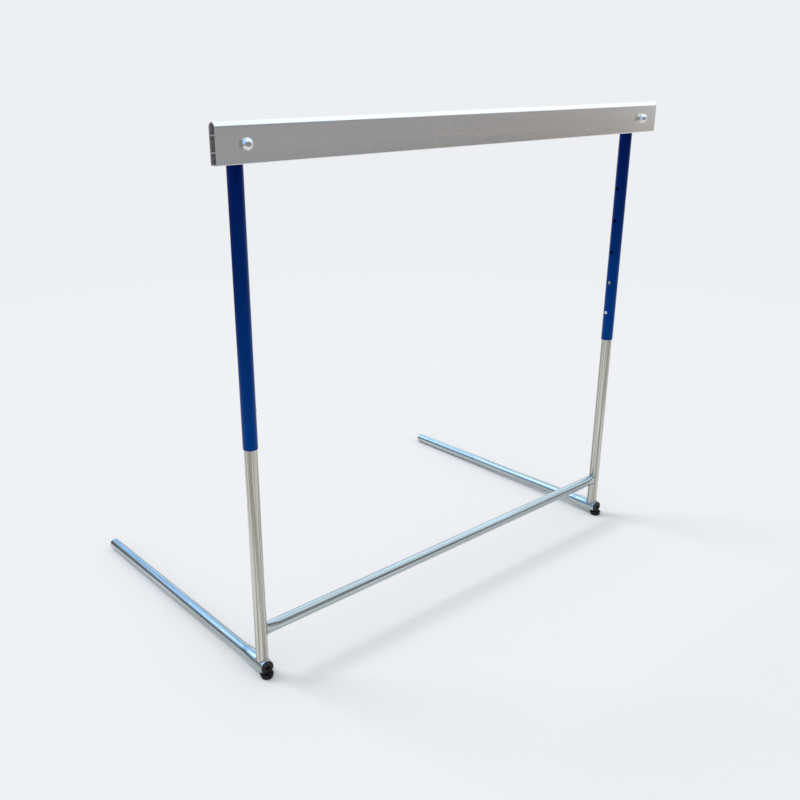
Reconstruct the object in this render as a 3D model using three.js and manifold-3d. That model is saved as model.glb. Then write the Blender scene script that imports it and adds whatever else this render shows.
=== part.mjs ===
// Track hurdle: a crossbar on two telescoping uprights, with a leg running back from each upright.
// Millimetres. X runs along the bar, Y from the front to the back, Z up, and the ground is at 0.
import * as THREE from 'three';
import { mergeVertices } from 'three/addons/utils/BufferGeometryUtils.js';
import Module from 'manifold-3d';

const wasm = await Module();
wasm.setup();

// Gaps
const SEAT_GAP = 0.3; // between a piece and what it rests on or fits into
const SLEEVE_PLAY = 0.4; // between a post and the sleeve that slides on it
const OVERRUN = 2; // how far a cutter runs past what it cuts

// Facets
const TUBE_SIDES = 32;
const FITTING_SIDES = 20;
const SMALL_SIDES = 16;
const CORNER_STEPS = 3;
const DOME_STEPS = 5;
const TAPER_STEPS = 4;

// Crossbar
const TOP_SETTING = 1067; // the bar's top, with the sleeves at their highest setting
const BAR_OVERHANG = 56; // from a post's middle to the bar's end
const BAR_HEIGHT = 66;
const BAR_THICKNESS = 18;
const BAR_WALL = 2;
const BAR_RIB = 2;
const BAR_LOWER_CHAMBER = 16.5;
const BAR_MIDDLE_CHAMBER = 24.5;
const BAR_EDGE_RADIUS = 1.5;
const BAR_INNER_RADIUS = 0.8;

// Posts and sleeves
const POST_SPACING = 1088;
const POST_DIAMETER = 25;
const POST_WALL = 1.5;
const POST_ABOVE_BUTTON = 122;
const SLEEVE_WALL = 1.2;
const SLEEVE_BELOW_BUTTON = 71;
const SLEEVE_BELOW_BAR_TOP = 21;
const BUTTON_HEIGHT = 566;
const HOLE_PITCH = 76.2;
const HOLE_COUNT = 5;

// Snap buttons and their leaf springs
const BUTTON_DIAMETER = 8;
const BUTTON_REACH = 3.2; // how far the dome stands out of the sleeve
const BUTTON_DOME = 3.4;
const BUTTON_FLANGE_DIAMETER = 9.8;
const BUTTON_FLANGE = 0.8;
const LEAF_THICKNESS = 0.7;
const LEAF_WIDTH = 8;
const LEAF_ABOVE_BUTTON = 6;
const LEAF_DROP = 40;
const LEAF_STEPS = 10;

// Bar bolts and saddles
const BOLT_DIAMETER = 8;
const BOLT_HEAD_DIAMETER = 20.6;
const BOLT_HEAD_HEIGHT = 12;
const BOLT_HEAD_EDGE = 3;
const BOLT_NECK = 4;
const BOLT_ABOVE_BAR_BOTTOM = 31;
const BOLT_PAST_NUT = 2;
const WASHER_DIAMETER = 16;
const WASHER_THICKNESS = 1.6;
const NUT_ACROSS_FLATS = 13;
const NUT_THICKNESS = 6.5;
const SADDLE_THICKNESS = 5.4; // between the bar's back and the sleeve's front
const SADDLE_WIDTH = 29;
const SADDLE_HEIGHT = 42;
const SADDLE_WRAP = 6; // how far its cheeks reach back beside the sleeve
const SADDLE_CORNER = 2;

// Cross tube
const CROSS_TUBE_DIAMETER = 25;
const CROSS_TUBE_WALL = 1.5;
const CROSS_TUBE_HEIGHT = 102;
const PRESSED_HEIGHT = 31; // the ends are pressed to an upright oval
const PRESSED_WIDTH = 19;
const PRESSED_LENGTH = 45; // from the post's middle
const VENT_DIAMETER = 10;
const VENT_FROM_POST = 34;
const VENT_TURN = 50; // degrees from straight down, towards the front

// Legs and sockets
const LEG_DIAMETER = 25;
const LEG_WALL = 1.5;
const LEG_REACH = 677; // from the post's middle to the rear end
const LEG_START = 3;
const SOCKET_HEIGHT = 22.6; // its middle line under the post
const SOCKET_WALL = 2.5;
const SOCKET_FRONT = 16; // in front of the post's middle
const SOCKET_REAR = 62; // behind the post's middle
const SOCKET_NECK = 24; // length of the taper at its rear
const SOCKET_NECK_WALL = 0.9;
const SOCKET_RIM = 0.8;

// Rubber feet and their screws
const FOOT_DIAMETER = 28;
const FOOT_BASE_DIAMETER = 24;
const FOOT_HEIGHT = 10;
const FOOT_EDGE = 1.5;
const FOOT_FROM_POST = 14;
const FOOT_RECESS_DIAMETER = 10;
const FOOT_RECESS_DEPTH = 3.2;
const SCREW_DIAMETER = 4;
const SCREW_HEAD_DIAMETER = 8;
const SCREW_HEAD_HEIGHT = 2;

// Plastic plugs, caps and guides
const PLUG_HEAD = 4.5;
const PLUG_STEM = 13;
const PLUG_STEM_WALL = 1.8;
const PLUG_FIN = 1;
const PLUG_FIN_COUNT = 2;
const PLUG_INSET = 0.6;
const PLUG_EDGE = 0.6;
const PLUG_DISH_DIAMETER = 11;
const PLUG_DISH_DEPTH = 3;
const PLUG_FLANGE = 3; // the front plugs cover the end of their sockets
const PLUG_FLANGE_DIAMETER = 27;
const CAP_HEIGHT = 3;
const CAP_STEM = 7;
const CAP_WALL = 1.6;
const CAP_EDGE = 1.2;
const GUIDE_HEAD = 3;
const GUIDE_STEM = 12;
const GUIDE_WALL = 1.8;
const GUIDE_EDGE = 0.8;

// Sizes that follow
const postRadius = POST_DIAMETER / 2;
const postBore = postRadius - POST_WALL;
const postTop = BUTTON_HEIGHT + POST_ABOVE_BUTTON;
const postPlace = POST_SPACING / 2;
const barEnd = postPlace + BAR_OVERHANG;
const sleeveBore = postRadius + SLEEVE_PLAY;
const sleeveRadius = sleeveBore + SLEEVE_WALL;
const sleeveBottom = BUTTON_HEIGHT - SLEEVE_BELOW_BUTTON;
const sleeveTop = TOP_SETTING - SLEEVE_BELOW_BAR_TOP;
const barBottom = TOP_SETTING - BAR_HEIGHT;
const barBack = -(sleeveRadius + SADDLE_THICKNESS);
const barFront = barBack - BAR_THICKNESS;
const boltRadius = BOLT_DIAMETER / 2;
const boltHole = boltRadius + SEAT_GAP;
const boltHeight = barBottom + BOLT_ABOVE_BAR_BOTTOM;
const boltSeat = barFront - SEAT_GAP;
const boltFront = boltSeat - BOLT_HEAD_HEIGHT;
const washerFront = sleeveRadius + SEAT_GAP;
const nutFront = washerFront + WASHER_THICKNESS + SEAT_GAP;
const boltEnd = nutFront + NUT_THICKNESS + BOLT_PAST_NUT;
const buttonHole = BUTTON_DIAMETER / 2 + SEAT_GAP;
const buttonTip = sleeveRadius + BUTTON_REACH;
const flangeRadius = BUTTON_FLANGE_DIAMETER / 2;
const flangeFront = Math.sqrt(postBore ** 2 - flangeRadius ** 2) - SEAT_GAP;
const flangeBack = flangeFront - BUTTON_FLANGE;
const legRadius = LEG_DIAMETER / 2;
const legBore = legRadius - LEG_WALL;
const socketBore = legRadius + SEAT_GAP;
const socketRadius = socketBore + SOCKET_WALL;
const plugFlangeRadius = PLUG_FLANGE_DIAMETER / 2;
const plugFace = SOCKET_FRONT + SEAT_GAP + PLUG_FLANGE;
const screwHole = SCREW_DIAMETER / 2 + SEAT_GAP;

// The legs slope down to the rear, until the lower edge of the rear end meets the ground.
const legSlope =
  Math.asin(SOCKET_HEIGHT / Math.hypot(LEG_REACH, legRadius)) - Math.atan2(legRadius, LEG_REACH);
const rearEnd = LEG_REACH * Math.cos(legSlope) + legRadius * Math.sin(legSlope);
const depthMiddle = (boltFront + rearEnd) / 2;

// Materials
const finish = (color, roughness, metalness) => () =>
  new THREE.MeshStandardMaterial({ color, roughness, metalness });
const satinAluminium = finish(0x98989a, 0.35, 0.9);
const blueCoat = finish(0x0b3a86, 0.4, 0.1);
const zincPlate = finish(0xb9bab2, 0.3, 0.95);
const brightSteel = finish(0xd6d8da, 0.15, 1);
const blackPlastic = finish(0x121214, 0.5, 0);
const blackRubber = finish(0x0c0c0d, 0.8, 0);

// Joining and cutting
function welded(geometry) {
  const bare = geometry.clone();
  bare.deleteAttribute('normal');
  bare.deleteAttribute('uv');
  return mergeVertices(bare);
}

function body(geometry) {
  const closed = welded(geometry);
  const mesh = new wasm.Mesh({
    numProp: 3,
    vertProperties: Float32Array.from(closed.attributes.position.array),
    triVerts: Uint32Array.from(closed.index.array),
  });
  return new wasm.Manifold(mesh);
}

function surface(solid) {
  const mesh = solid.getMesh();
  const geometry = new THREE.BufferGeometry();
  geometry.setAttribute('position', new THREE.BufferAttribute(mesh.vertProperties, 3));
  geometry.setIndex(new THREE.BufferAttribute(mesh.triVerts, 1));
  return geometry;
}

function cut(geometry, tools) {
  return surface(tools.reduce((rest, tool) => rest.subtract(body(tool)), body(geometry)));
}

// Turned shapes: an outline is a list of [radius, place along the axis], and the axis is +Y.
function turned(outline, sides = SMALL_SIDES) {
  const points = outline.map(([radius, along]) => new THREE.Vector2(radius, along));
  return welded(new THREE.LatheGeometry(points, sides));
}

function ring(bore, radius, start, end, sides = TUBE_SIDES) {
  const corners = [
    [bore, start],
    [radius, start],
    [radius, end],
    [bore, end],
    [bore, start],
  ];
  return turned(corners, sides);
}

function rod(radius, start, end, sides = SMALL_SIDES) {
  const length = end - start;
  return new THREE.CylinderGeometry(radius, radius, length, sides).translate(0, start + length / 2, 0);
}

const upright = (geometry) => geometry.rotateX(Math.PI / 2);
const sideways = (geometry, direction) => geometry.rotateZ((-Math.PI / 2) * direction);

// Outline points on a quarter or other stretch of an oval, both ends included
function oval([middle, along], [radius, rise], from, to, steps) {
  return Array.from({ length: steps + 1 }, (_, step) => {
    const angle = from + ((to - from) * step) / steps;
    return [middle + radius * Math.cos(angle), along + rise * Math.sin(angle)];
  });
}

function roundedEdge(radius, end, edge) {
  return oval([radius - edge, end - edge], [edge, edge], 0, Math.PI / 2, CORNER_STEPS);
}

// Crossbar: an extrusion with a round top and three chambers
function lowerCorners(path, half, bottom, radius) {
  path.absarc(radius - half, bottom + radius, radius, Math.PI, 1.5 * Math.PI);
  path.absarc(half - radius, bottom + radius, radius, 1.5 * Math.PI, 2 * Math.PI);
}

function upperCorners(path, half, top, radius) {
  path.absarc(half - radius, top - radius, radius, 0, Math.PI / 2);
  path.absarc(radius - half, top - radius, radius, Math.PI / 2, Math.PI);
}

function chamber(bottom, height) {
  const half = BAR_THICKNESS / 2 - BAR_WALL;
  const path = new THREE.Path();
  lowerCorners(path, half, bottom, BAR_INNER_RADIUS);
  upperCorners(path, half, bottom + height, BAR_INNER_RADIUS);
  return path;
}

function roundChamber(bottom) {
  const half = BAR_THICKNESS / 2 - BAR_WALL;
  const path = new THREE.Path();
  lowerCorners(path, half, bottom, BAR_INNER_RADIUS);
  path.absarc(0, BAR_HEIGHT - BAR_THICKNESS / 2, half, 0, Math.PI);
  return path;
}

function barSection() {
  const half = BAR_THICKNESS / 2;
  const middleBottom = BAR_WALL + BAR_LOWER_CHAMBER + BAR_RIB;
  const section = new THREE.Shape();
  lowerCorners(section, half, 0, BAR_EDGE_RADIUS);
  section.absarc(0, BAR_HEIGHT - half, half, 0, Math.PI);
  section.holes.push(chamber(BAR_WALL, BAR_LOWER_CHAMBER));
  section.holes.push(chamber(middleBottom, BAR_MIDDLE_CHAMBER));
  section.holes.push(roundChamber(middleBottom + BAR_MIDDLE_CHAMBER + BAR_RIB));
  return section;
}

// A round hole right through, and a square one through the front wall for the bolt's neck
function barBoltHoles(place) {
  const neck = BOLT_DIAMETER + 2 * SEAT_GAP;
  const depth = OVERRUN + BAR_WALL;
  const round = rod(boltHole, barFront - OVERRUN, barBack + OVERRUN);
  const square = new THREE.BoxGeometry(neck, depth, neck);
  square.translate(0, barFront - OVERRUN + depth / 2, 0);
  return [round, square].map((tool) => tool.translate(place * postPlace, 0, boltHeight));
}

function crossbar() {
  const options = { depth: 2 * barEnd, bevelEnabled: false, curveSegments: DOME_STEPS };
  const bar = new THREE.ExtrudeGeometry(barSection(), options);
  const alongX = new THREE.Matrix4().makeBasis(
    new THREE.Vector3(0, 1, 0),
    new THREE.Vector3(0, 0, 1),
    new THREE.Vector3(1, 0, 0),
  );
  bar.applyMatrix4(alongX);
  bar.translate(-barEnd, barFront + BAR_THICKNESS / 2, barBottom);
  return cut(bar, [...barBoltHoles(-1), ...barBoltHoles(1)]);
}

// Sleeve: the upper tube, with its setting holes towards the other upright
function sleeve(inward) {
  const tube = upright(ring(sleeveBore, sleeveRadius, sleeveBottom, sleeveTop));
  const holes = Array.from({ length: HOLE_COUNT }, (_, step) => {
    const hole = sideways(rod(buttonHole, 0, sleeveRadius + OVERRUN), inward);
    return hole.translate(0, 0, BUTTON_HEIGHT + step * HOLE_PITCH);
  });
  const through = sleeveRadius + OVERRUN;
  const bolt = rod(boltHole, -through, through).translate(0, 0, boltHeight);
  return cut(tube, [...holes, bolt]);
}

// A cap or guide: a round-edged head on a hollow stem that fits in a tube
function stopper({ top, head, headRadius, edge, stemRadius, stem, wall }) {
  const bore = stemRadius - wall;
  const seat = top - head;
  const bottom = seat - stem;
  const outline = [
    [0, seat],
    [bore, seat],
    [bore, bottom],
    [stemRadius, bottom],
    [stemRadius, seat],
    [headRadius, seat],
    ...roundedEdge(headRadius, top, edge),
    [0, top],
  ];
  return upright(turned(outline, FITTING_SIDES));
}

function sleeveCap() {
  return stopper({
    top: sleeveTop + SEAT_GAP + CAP_HEIGHT,
    head: CAP_HEIGHT,
    headRadius: sleeveRadius,
    edge: CAP_EDGE,
    stemRadius: sleeveBore - SEAT_GAP,
    stem: CAP_STEM,
    wall: CAP_WALL,
  });
}

function postGuide() {
  return stopper({
    top: postTop + SEAT_GAP + GUIDE_HEAD,
    head: GUIDE_HEAD,
    headRadius: sleeveBore - SEAT_GAP,
    edge: GUIDE_EDGE,
    stemRadius: postBore - SEAT_GAP,
    stem: GUIDE_STEM,
    wall: GUIDE_WALL,
  });
}

// Saddle: a block between the flat bar and the round sleeve
function saddle() {
  const front = barBack + SEAT_GAP;
  const back = SADDLE_WRAP - sleeveRadius;
  const half = SADDLE_WIDTH / 2;
  const seat = sleeveRadius + SEAT_GAP;
  const seatEnd = Math.asin(back / seat);
  const section = new THREE.Shape();
  lowerCorners(section, half, front, SADDLE_CORNER);
  section.lineTo(half, back);
  section.absarc(0, 0, seat, seatEnd, -Math.PI - seatEnd, true);
  section.lineTo(-half, back);
  const options = { depth: SADDLE_HEIGHT, bevelEnabled: false, curveSegments: DOME_STEPS };
  const block = new THREE.ExtrudeGeometry(section, options);
  block.translate(0, 0, boltHeight - SADDLE_HEIGHT / 2);
  const hole = rod(boltHole, barBack - OVERRUN, 0).translate(0, 0, boltHeight);
  return cut(block, [hole]);
}

// Carriage bolt: a high domed head, a square neck and a shank that runs back through the sleeve
function barBolt() {
  const headRadius = BOLT_HEAD_DIAMETER / 2;
  const dome = BOLT_HEAD_HEIGHT - BOLT_HEAD_EDGE;
  const outline = [
    [0, boltFront],
    ...oval([0, boltFront + dome], [headRadius, dome], -Math.PI / 2, 0, DOME_STEPS).slice(1),
    [headRadius, boltSeat],
    [boltRadius, boltSeat],
    [boltRadius, boltEnd],
    [0, boltEnd],
  ];
  const neck = new THREE.BoxGeometry(BOLT_DIAMETER, BOLT_NECK, BOLT_DIAMETER);
  neck.translate(0, boltSeat + BOLT_NECK / 2, 0);
  const bolt = body(turned(outline)).add(body(neck));
  return surface(bolt).translate(0, 0, boltHeight);
}

function washer() {
  const back = washerFront + WASHER_THICKNESS;
  const plate = ring(boltHole, WASHER_DIAMETER / 2, washerFront, back, SMALL_SIDES);
  return plate.translate(0, 0, boltHeight);
}

// Nut: a hexagon with its corners turned down at both faces
function nut() {
  const flat = NUT_ACROSS_FLATS / 2;
  const corner = flat / Math.cos(Math.PI / 6);
  const back = nutFront + NUT_THICKNESS;
  const wide = corner + OVERRUN;
  const chamfer = (wide - flat) * Math.tan(Math.PI / 6);
  const turnedDown = turned([
    [0, nutFront],
    [flat, nutFront],
    [wide, nutFront + chamfer],
    [wide, back - chamfer],
    [flat, back],
    [0, back],
  ]);
  const hexagon = body(rod(corner, nutFront, back, 6));
  const blank = surface(hexagon.intersect(body(turnedDown)));
  return cut(blank, [rod(boltHole, nutFront - OVERRUN, back + OVERRUN)]).translate(0, 0, boltHeight);
}

// Snap button: a domed pin with a flange that stops against the post's inner wall
function snapButton(inward) {
  const radius = BUTTON_DIAMETER / 2;
  const dome = oval([0, buttonTip - BUTTON_DOME], [radius, BUTTON_DOME], 0, Math.PI / 2, DOME_STEPS);
  const outline = [
    [0, flangeBack],
    [flangeRadius, flangeBack],
    [flangeRadius, flangeFront],
    [radius, flangeFront],
    ...dome.slice(0, -1),
    [0, buttonTip],
  ];
  return sideways(turned(outline), inward).translate(0, 0, BUTTON_HEIGHT);
}

// Leaf spring: a strip that lies behind the button, bends over below and bears on the opposite wall
function leafPath() {
  const half = LEAF_THICKNESS / 2;
  const near = flangeBack - SEAT_GAP - half;
  const far = half + SEAT_GAP - Math.sqrt(postBore ** 2 - (LEAF_WIDTH / 2) ** 2);
  const straightShare = 0.55;
  const bendShare = 1.3;
  const straightEnd = new THREE.Vector2(near, -LEAF_DROP * straightShare);
  const path = new THREE.CurvePath();
  path.add(new THREE.LineCurve(new THREE.Vector2(near, LEAF_ABOVE_BUTTON), straightEnd));
  path.add(
    new THREE.CubicBezierCurve(
      straightEnd,
      new THREE.Vector2(near, -LEAF_DROP * bendShare),
      new THREE.Vector2(far * straightShare, -LEAF_DROP * bendShare),
      new THREE.Vector2(far, -LEAF_ABOVE_BUTTON),
    ),
  );
  return path;
}

function leafSpring(inward) {
  const path = leafPath();
  const sides = [-1, 1].map((sign) =>
    Array.from({ length: LEAF_STEPS + 1 }, (_, step) => {
      const share = step / LEAF_STEPS;
      const along = path.getTangent(share);
      const across = new THREE.Vector2(-along.y, along.x).multiplyScalar((sign * LEAF_THICKNESS) / 2);
      return path.getPoint(share).add(across);
    }),
  );
  const strip = new THREE.Shape([...sides[0], ...sides[1].reverse()]);
  const leaf = new THREE.ExtrudeGeometry(strip, { depth: LEAF_WIDTH, bevelEnabled: false });
  upright(leaf.translate(0, 0, -LEAF_WIDTH / 2));
  if (inward < 0) leaf.rotateZ(Math.PI);
  return welded(leaf.translate(0, 0, BUTTON_HEIGHT));
}

// The frame of a leg: its origin is under the post, and its Y axis runs down the leg.
function legFrame() {
  const place = new THREE.Matrix4().makeTranslation(0, 0, SOCKET_HEIGHT);
  return place.multiply(new THREE.Matrix4().makeRotationX(-legSlope));
}

// The room that the socket takes, with its gap, for the pieces that are cut to sit against it
function socketRoom() {
  const room = rod(socketRadius + SEAT_GAP, -(SOCKET_FRONT + SEAT_GAP), SOCKET_REAR, TUBE_SIDES);
  return room.applyMatrix4(legFrame());
}

function plugRoom() {
  const room = rod(plugFlangeRadius + SEAT_GAP, -(plugFace + SEAT_GAP), 0, FITTING_SIDES);
  return room.applyMatrix4(legFrame());
}

function post(inward) {
  const tube = upright(ring(postBore, postRadius, SOCKET_HEIGHT, postTop));
  const hole = sideways(rod(buttonHole, 0, postRadius + OVERRUN), inward);
  return cut(tube, [hole.translate(0, 0, BUTTON_HEIGHT), socketRoom()]);
}

// Socket: a short wide tube under the post, necked down onto the leg at its rear
function socket() {
  const neckRadius = socketBore + SOCKET_NECK_WALL;
  const neckStart = SOCKET_REAR - SOCKET_NECK;
  const neckSteps = Array.from({ length: TAPER_STEPS + 1 }, (_, step) => {
    const share = step / TAPER_STEPS;
    const drop = (socketRadius - neckRadius) * THREE.MathUtils.smoothstep(share, 0, 1);
    return [socketRadius - drop, neckStart + SOCKET_NECK * share];
  });
  const outline = [
    [socketBore, -SOCKET_FRONT],
    [socketRadius - SOCKET_RIM, -SOCKET_FRONT],
    [socketRadius, SOCKET_RIM - SOCKET_FRONT],
    ...neckSteps,
    [socketBore, SOCKET_REAR],
    [socketBore, -SOCKET_FRONT],
  ];
  const hole = upright(rod(screwHole, 0, SOCKET_HEIGHT)).translate(0, -FOOT_FROM_POST, 0);
  return cut(turned(outline, TUBE_SIDES), [hole.applyMatrix4(legFrame().invert())]);
}

const leg = () => ring(legBore, legRadius, LEG_START, LEG_REACH);

// Tube plug: a dished head and a hollow stem with fins. Its face is at 0, and it reaches into the tube.
function plug(bore, headRadius, head) {
  const radius = bore - SEAT_GAP;
  const core = radius - PLUG_FIN;
  const hollow = core - PLUG_STEM_WALL;
  const dish = PLUG_DISH_DIAMETER / 2;
  const end = PLUG_HEAD + PLUG_STEM;
  const pitch = PLUG_STEM / (PLUG_FIN_COUNT + 1);
  const fins = Array.from({ length: PLUG_FIN_COUNT }, (_, step) => {
    const start = PLUG_HEAD + pitch * (step + 1);
    return [
      [core, start],
      [radius, start],
      [core, start + PLUG_FIN],
    ];
  });
  const outline = [
    [0, PLUG_DISH_DEPTH],
    [dish - PLUG_EDGE, PLUG_DISH_DEPTH],
    [dish, 0],
    [headRadius - PLUG_EDGE, 0],
    [headRadius, PLUG_EDGE],
    [headRadius, head],
    [core, head],
    ...fins.flat(),
    [core, end],
    [hollow, end],
    [hollow, PLUG_HEAD],
    [0, PLUG_HEAD],
  ];
  return turned(outline, FITTING_SIDES);
}

const frontPlug = () => plug(socketBore, plugFlangeRadius, PLUG_FLANGE).translate(0, -plugFace, 0);

function rearPlug() {
  const flush = plug(legBore, legBore - SEAT_GAP, PLUG_HEAD);
  return flush.rotateZ(Math.PI).translate(0, LEG_REACH - PLUG_INSET, 0);
}

// Rubber foot: a tapered pad that cradles the socket, with a recess for its screw
function foot() {
  const radius = FOOT_DIAMETER / 2;
  const base = FOOT_BASE_DIAMETER / 2;
  const recess = FOOT_RECESS_DIAMETER / 2;
  const outline = [
    [screwHole, FOOT_RECESS_DEPTH],
    [recess, FOOT_RECESS_DEPTH],
    [recess, 0],
    ...oval([base - FOOT_EDGE, FOOT_EDGE], [FOOT_EDGE, FOOT_EDGE], -Math.PI / 2, 0, CORNER_STEPS),
    ...roundedEdge(radius, FOOT_HEIGHT, FOOT_EDGE),
    [screwHole, FOOT_HEIGHT],
    [screwHole, FOOT_RECESS_DEPTH],
  ];
  const pad = upright(turned(outline, FITTING_SIDES)).translate(0, -FOOT_FROM_POST, 0);
  return cut(pad, [socketRoom(), plugRoom()]);
}

// Foot screw: its head bears in the foot's recess, and its shank ends inside the socket's wall.
function footScrew() {
  const seat = FOOT_RECESS_DEPTH - SEAT_GAP;
  const radius = SCREW_DIAMETER / 2;
  const head = SCREW_HEAD_DIAMETER / 2;
  const tip = SOCKET_HEIGHT - socketBore - SEAT_GAP;
  const outline = [
    [0, seat - SCREW_HEAD_HEIGHT],
    [head, seat - SCREW_HEAD_HEIGHT],
    [head, seat],
    [radius, seat],
    [radius, tip],
    [0, tip],
  ];
  return upright(turned(outline)).translate(0, -FOOT_FROM_POST, 0);
}

// Cross tube: its ends are pressed to an upright oval and cut to fit round the posts.
function pressedEnds(geometry) {
  const tallness = PRESSED_HEIGHT / CROSS_TUBE_DIAMETER - 1;
  const thinness = PRESSED_WIDTH / CROSS_TUBE_DIAMETER - 1;
  const places = geometry.attributes.position;
  for (let index = 0; index < places.count; index += 1) {
    const fromEnd = (postPlace - Math.abs(places.getX(index))) / PRESSED_LENGTH;
    const pressed = 1 - THREE.MathUtils.smoothstep(fromEnd, 0, 1);
    places.setY(index, places.getY(index) * (1 + pressed * thinness));
    places.setZ(index, places.getZ(index) * (1 + pressed * tallness));
  }
  return geometry;
}

function crossTube() {
  const radius = CROSS_TUBE_DIAMETER / 2;
  const bore = radius - CROSS_TUBE_WALL;
  const shares = Array.from({ length: TAPER_STEPS + 1 }, (_, step) => step / TAPER_STEPS);
  const left = shares.map((share) => PRESSED_LENGTH * share - postPlace);
  const stations = [...left, ...left.map((place) => -place).reverse()];
  const outline = [
    ...stations.map((place) => [radius, place]),
    ...stations.map((place) => [bore, place]).reverse(),
    [radius, -postPlace],
  ];
  const tube = pressedEnds(sideways(turned(outline, TUBE_SIDES), 1));
  const room = postRadius + SEAT_GAP;
  const posts = [-1, 1].map((place) =>
    upright(rod(room, -PRESSED_HEIGHT, PRESSED_HEIGHT, TUBE_SIDES)).translate(place * postPlace, 0, 0),
  );
  const vent = upright(rod(VENT_DIAMETER / 2, -PRESSED_HEIGHT, 0));
  vent.rotateX(-THREE.MathUtils.degToRad(VENT_TURN)).translate(postPlace - VENT_FROM_POST, 0, 0);
  return cut(tube, [...posts, vent]).translate(0, 0, CROSS_TUBE_HEIGHT);
}

// The whole hurdle
function add(parent, name, geometry, material) {
  const mesh = new THREE.Mesh(geometry, material());
  mesh.name = name;
  parent.add(mesh);
}

function upper(side, inward) {
  const group = new THREE.Group();
  add(group, `sleeve_${side}`, sleeve(inward), blueCoat);
  add(group, `sleeve_cap_${side}`, sleeveCap(), blackPlastic);
  add(group, `bar_saddle_${side}`, saddle(), blackPlastic);
  add(group, `bar_bolt_${side}`, barBolt(), brightSteel);
  add(group, `bar_washer_${side}`, washer(), zincPlate);
  add(group, `bar_nut_${side}`, nut(), zincPlate);
  return group;
}

function lower(side, inward) {
  const group = new THREE.Group();
  add(group, `post_${side}`, post(inward), zincPlate);
  add(group, `post_guide_${side}`, postGuide(), blackPlastic);
  add(group, `snap_button_${side}`, snapButton(inward), brightSteel);
  add(group, `snap_spring_${side}`, leafSpring(inward), brightSteel);
  add(group, `foot_${side}`, foot(), blackRubber);
  add(group, `foot_screw_${side}`, footScrew(), zincPlate);
  return group;
}

function sloping(side) {
  const group = new THREE.Group();
  group.position.z = SOCKET_HEIGHT;
  group.rotation.x = -legSlope;
  add(group, `leg_socket_${side}`, socket(), zincPlate);
  add(group, `leg_${side}`, leg(), zincPlate);
  add(group, `leg_front_plug_${side}`, frontPlug(), blackPlastic);
  add(group, `leg_rear_plug_${side}`, rearPlug(), blackPlastic);
  return group;
}

const hurdle = new THREE.Group();
hurdle.position.y = -depthMiddle;
add(hurdle, 'crossbar', crossbar(), satinAluminium);
add(hurdle, 'cross_tube', crossTube(), zincPlate);
for (const [side, place] of [['left', -1], ['right', 1]]) {
  const stand = new THREE.Group();
  stand.position.x = place * postPlace;
  stand.add(upper(side, -place), lower(side, -place), sloping(side));
  hurdle.add(stand);
}

export default hurdle;
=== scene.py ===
"""The track hurdle: its finishes, its smooth tubes and welds, the studio and the camera."""
import math

import bmesh
import bpy
from mathutils import Matrix, Vector


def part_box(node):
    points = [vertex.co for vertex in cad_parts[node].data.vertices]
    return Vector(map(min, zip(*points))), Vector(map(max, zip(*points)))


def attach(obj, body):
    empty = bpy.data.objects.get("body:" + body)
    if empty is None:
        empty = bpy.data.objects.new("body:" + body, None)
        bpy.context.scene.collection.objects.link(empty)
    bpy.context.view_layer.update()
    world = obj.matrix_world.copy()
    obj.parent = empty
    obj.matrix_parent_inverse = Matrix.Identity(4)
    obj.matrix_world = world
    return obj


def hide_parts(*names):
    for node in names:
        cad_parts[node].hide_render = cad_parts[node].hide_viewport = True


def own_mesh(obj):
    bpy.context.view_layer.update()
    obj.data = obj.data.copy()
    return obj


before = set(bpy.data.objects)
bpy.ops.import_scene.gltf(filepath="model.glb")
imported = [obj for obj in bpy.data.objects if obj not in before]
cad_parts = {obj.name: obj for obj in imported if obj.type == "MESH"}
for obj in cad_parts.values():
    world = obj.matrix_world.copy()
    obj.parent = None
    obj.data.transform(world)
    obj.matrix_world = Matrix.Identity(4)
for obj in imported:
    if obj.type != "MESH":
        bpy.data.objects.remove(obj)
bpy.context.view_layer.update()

MM = 0.001
SIDES = ("left", -1), ("right", 1)


def span(node, axis):
    """Where a node begins and ends along an axis, in millimetres."""
    return [round(corner["XYZ".index(axis)] / MM, 3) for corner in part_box(node)]


# Sizes, in millimetres. What the frame can tell comes from its nodes.
POST_PLACE = sum(span("post_right", "X")) / 2
DEPTH_OF_POSTS = round(sum(span("post_right", "Y")) / 2, 3)
POST_TOP = span("post_right", "Z")[1]
SLEEVE_BOTTOM, SLEEVE_TOP = span("sleeve_right", "Z")
BAR_END = span("crossbar", "X")[1]
BAR_BOTTOM, BAR_TOP = span("crossbar", "Z")

# Depths are measured from the posts' middle, towards the back. A bore is a radius too.
BAR_FRONT, BAR_THICKNESS, BAR_WALL, BAR_EDGE = -37.5, 18, 2, 1.5
BOLT_HEIGHT, BOLT_RADIUS, BOLT_HOLE_RADIUS = 1032, 4, 4.3
SLEEVE_BORE, SLEEVE_RADIUS = 12.9, 14.1
POST_BORE, POST_RADIUS = 11, 12.5
BUTTON_HEIGHT, HOLE_PITCH, HOLE_RADIUS, SETTINGS = 566, 76.2, 4.3, 5
CROSS_HEIGHT, CROSS_RADIUS, CROSS_WALL = 102, 12.5, 1.5
SOCKET_HEIGHT, SOCKET_RADIUS, SOCKET_BORE = 22.6, 15.3, 12.8
LEG_RADIUS, LEG_BORE, LEG_START, LEG_REACH = 12.5, 11, 3, 677
PLUG_RADIUS, PLUG_FACE = 13.5, -19.3
SEAT_GAP = 0.05

# Each chamber of the bar: its floor above the bar's underside, its height, its upper edges' rounding.
CHAMBERS = (2, 16.5, 0.8), (20.5, 24.5, 0.8), (47, 17, 7)

# The cross tube's ends: how far in they are pressed, and how tall and wide they become.
PRESSED_LENGTH, PRESSED_TALL, PRESSED_WIDE = 45, 31 / 25, 19 / 25

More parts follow.
